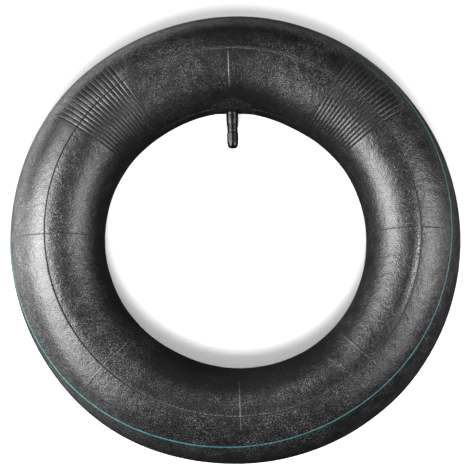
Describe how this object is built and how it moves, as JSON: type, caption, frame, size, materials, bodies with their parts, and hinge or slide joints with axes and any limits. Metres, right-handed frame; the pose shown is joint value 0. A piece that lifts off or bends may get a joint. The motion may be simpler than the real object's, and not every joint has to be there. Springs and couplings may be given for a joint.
{
  "type": "inner tube",
  "caption": "Fat ring-shaped rubber inner tube for a small wheel, with a straight rubber-covered valve, valve core and screw cap on its inner wall.",
  "frame": {"origin": "centre of the ring, on the wheel's axis, half-way up the section", "axes": "+Z along the wheel's axis, up from the face the tube lies on to the face with the coloured line; +Y towards the valve, which points back along -Y"},
  "size_m": [0.38, 0.38, 0.08],
  "materials": {
    "tube_rubber": "dusty, satin butyl rubber with fine talc bloom",
    "stripe_rubber": "matt teal line",
    "stem_rubber": "smooth moulded rubber",
    "brass": "plain turned brass",
    "pin_steel": "bright drawn wire",
    "core_seal": "red sealing ring",
    "washer_rubber": "moulded black rubber",
    "cap_plastic": "moulded black plastic with a slight sheen"
  },
  "bodies": {
    "tube": {"tube_body": "tube_rubber", "colour_stripe": "stripe_rubber", "valve_stem_rubber": "stem_rubber", "valve_insert": "brass"},
    "cap_carrier": {"cap_seal": "washer_rubber"},
    "cap": {"valve_cap": "cap_plastic"},
    "core": {"core_body": "brass", "core_body_seal": "core_seal", "core_spring": "pin_steel"},
    "plug": {"core_plug": "brass"},
    "pin": {"core_pin": "pin_steel", "core_spring_seat": "brass", "core_seat_cup": "brass", "core_seat_washer": "washer_rubber"}
  },
  "joints": [
    {"name": "cap_lift", "type": "slide", "parent": "tube", "child": "cap_carrier", "axis": [0, -1, 0], "range_m": [0, 0.01146]},
    {"name": "cap_turn", "type": "hinge", "parent": "cap_carrier", "child": "cap", "pos_m": [0, 0.0765, 0], "axis": [0, -1, 0], "range_deg": [0, 5200]},
    {"name": "core_lift", "type": "slide", "parent": "tube", "child": "core", "axis": [0, -1, 0], "range_m": [0, 0.00141]},
    {"name": "plug_turn", "type": "hinge", "parent": "core", "child": "plug", "pos_m": [0, 0.0795, 0], "axis": [0, -1, 0], "range_deg": [0, 720]},
    {"name": "pin_press", "type": "slide", "parent": "core", "child": "pin", "axis": [0, 1, 0], "range_m": [0, 0.0016], "stiffness_N_per_m": 900, "springref_m": -0.002, "deforming": ["core_spring"]}
  ],
  "couplings": [
    {"joint": "cap_turn", "follows": "cap_lift", "rad_per_m": 7913.3},
    {"joint": "plug_turn", "follows": "core_lift", "rad_per_m": 8904.7}
  ]
}
